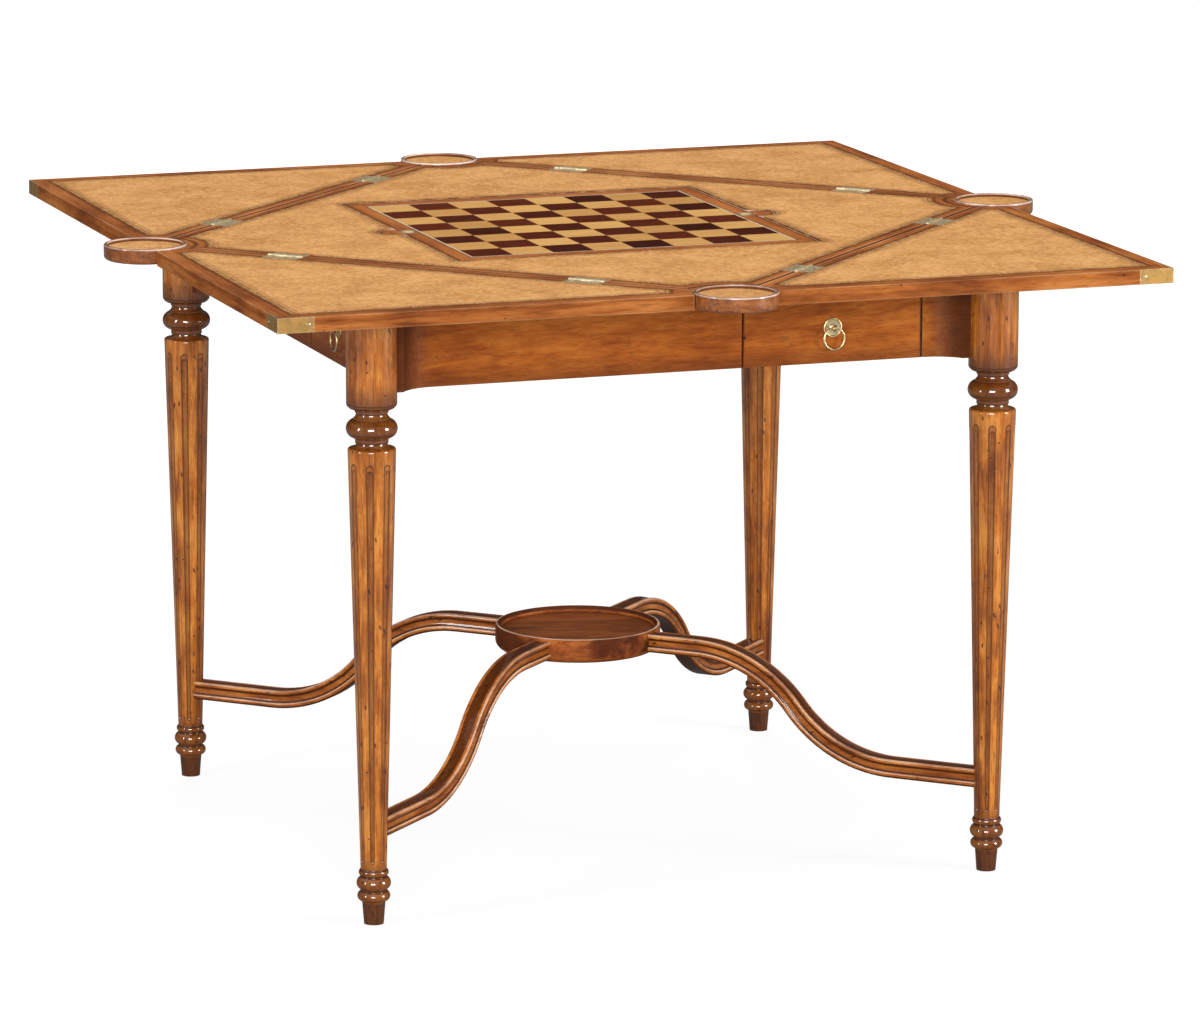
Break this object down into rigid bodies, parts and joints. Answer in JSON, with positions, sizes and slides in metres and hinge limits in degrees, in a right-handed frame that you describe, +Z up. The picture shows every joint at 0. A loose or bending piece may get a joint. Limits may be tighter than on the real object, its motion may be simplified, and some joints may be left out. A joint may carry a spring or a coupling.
{
  "type": "games table",
  "caption": "Envelope-top games table: fluted legs, swivelling top with folding leaves and corner cups, lift-out chess board, apron drawers with ring pulls, curved stretcher with dish.",
  "frame": {"origin": "floor level under the middle of the table", "axes": "+Z up; -Y is the front, the side nearest the viewer of the picture; +X to that viewer's right"},
  "size_m": [1.2106, 1.2106, 0.7642],
  "materials": {
    "walnut": "waxed, distressed",
    "leather": "tan hide with dark tooled border",
    "brass": "aged, softly polished",
    "drawer_wood": "plain oiled",
    "dark_square": "polished dark veneer",
    "light_square": "polished pale veneer",
    "stringing": "polished pale line",
    "steel": "plain"
  },
  "bodies": {
    "frame": {"leg_front_left": "walnut", "leg_front_right": "walnut", "leg_back_right": "walnut", "leg_back_left": "walnut", "apron_front": "walnut", "apron_right": "walnut", "apron_back": "walnut", "apron_left": "walnut", "stretcher_front_left": "walnut", "stretcher_front_right": "walnut", "stretcher_back_right": "walnut", "stretcher_back_left": "walnut", "stretcher_dish": "walnut", "drawer_dividers": "drawer_wood", "drawer_runners": "drawer_wood", "pivot_bearer": "drawer_wood"},
    "top": {"centre_panel": "walnut", "centre_leathers": "leather", "cup_dishes": "walnut", "cup_dowels": "drawer_wood", "centre_hinges": "brass", "board_well": "drawer_wood", "swivel_pivot": "steel"},
    "board": {"board_panel": "walnut", "board_stringing": "stringing", "thumb_pulls": "brass", "dark_squares": "dark_square", "light_squares": "light_square"},
    "leaf_front_left": {"leaf_panel_front_left": "walnut", "leaf_leather_front_left": "leather", "leaf_strap_front_left": "brass", "leaf_hinges_front_left": "brass"},
    "leaf_front_right": {"leaf_panel_front_right": "walnut", "leaf_leather_front_right": "leather", "leaf_strap_front_right": "brass", "leaf_hinges_front_right": "brass"},
    "leaf_back_right": {"leaf_panel_back_right": "walnut", "leaf_leather_back_right": "leather", "leaf_strap_back_right": "brass", "leaf_hinges_back_right": "brass"},
    "leaf_back_left": {"leaf_panel_back_left": "walnut", "leaf_leather_back_left": "leather", "leaf_strap_back_left": "brass", "leaf_hinges_back_left": "brass"},
    "drawer_front": {"drawer_front_front": "walnut", "drawer_box_front": "drawer_wood", "pull_plate_front": "brass"},
    "ring_front": {"pull_ring_front": "brass"},
    "drawer_right": {"drawer_front_right": "walnut", "drawer_box_right": "drawer_wood", "pull_plate_right": "brass"},
    "ring_right": {"pull_ring_right": "brass"},
    "drawer_back": {"drawer_front_back": "walnut", "drawer_box_back": "drawer_wood", "pull_plate_back": "brass"},
    "ring_back": {"pull_ring_back": "brass"},
    "drawer_left": {"drawer_front_left": "walnut", "drawer_box_left": "drawer_wood", "pull_plate_left": "brass"},
    "ring_left": {"pull_ring_left": "brass"}
  },
  "joints": [
    {"name": "top_swivel", "type": "hinge", "parent": "frame", "child": "top", "pos_m": [0, 0, 0.717], "axis": [0, 0, 1], "range_deg": [0, 45]},
    {"name": "leaf_front_left_fold", "type": "hinge", "parent": "top", "child": "leaf_front_left", "pos_m": [-0.27754, -0.27754, 0.76225], "axis": [-0.7071, 0.7071, 0], "range_deg": [0, 180]},
    {"name": "leaf_front_right_fold", "type": "hinge", "parent": "top", "child": "leaf_front_right", "pos_m": [0.27754, -0.27754, 0.76225], "axis": [-0.7071, -0.7071, 0], "range_deg": [0, 180]},
    {"name": "leaf_back_right_fold", "type": "hinge", "parent": "top", "child": "leaf_back_right", "pos_m": [0.27754, 0.27754, 0.76225], "axis": [0.7071, -0.7071, 0], "range_deg": [0, 180]},
    {"name": "leaf_back_left_fold", "type": "hinge", "parent": "top", "child": "leaf_back_left", "pos_m": [-0.27754, 0.27754, 0.76225], "axis": [0.7071, 0.7071, 0], "range_deg": [0, 180]},
    {"name": "drawer_front_slide", "type": "slide", "parent": "frame", "child": "drawer_front", "axis": [0, -1, 0], "range_m": [0, 0.2]},
    {"name": "drawer_right_slide", "type": "slide", "parent": "frame", "child": "drawer_right", "axis": [1, 0, 0], "range_m": [0, 0.2]},
    {"name": "drawer_back_slide", "type": "slide", "parent": "frame", "child": "drawer_back", "axis": [0, 1, 0], "range_m": [0, 0.2]},
    {"name": "drawer_left_slide", "type": "slide", "parent": "frame", "child": "drawer_left", "axis": [-1, 0, 0], "range_m": [0, 0.2]},
    {"name": "ring_front_swing", "type": "hinge", "parent": "drawer_front", "child": "ring_front", "pos_m": [0.193, -0.3766, 0.6802], "axis": [-1, 0, 0], "range_deg": [0, 95]},
    {"name": "ring_right_swing", "type": "hinge", "parent": "drawer_right", "child": "ring_right", "pos_m": [0.3766, 0.193, 0.6802], "axis": [0, -1, 0], "range_deg": [0, 95]},
    {"name": "ring_back_swing", "type": "hinge", "parent": "drawer_back", "child": "ring_back", "pos_m": [-0.193, 0.3766, 0.6802], "axis": [1, 0, 0], "range_deg": [0, 95]},
    {"name": "ring_left_swing", "type": "hinge", "parent": "drawer_left", "child": "ring_left", "pos_m": [-0.3766, -0.193, 0.6802], "axis": [0, 1, 0], "range_deg": [0, 95]},
    {"name": "board_lift", "type": "slide", "parent": "top", "child": "board", "axis": [0, 0, -1], "range_m": [-0.06, 0]}
  ]
}
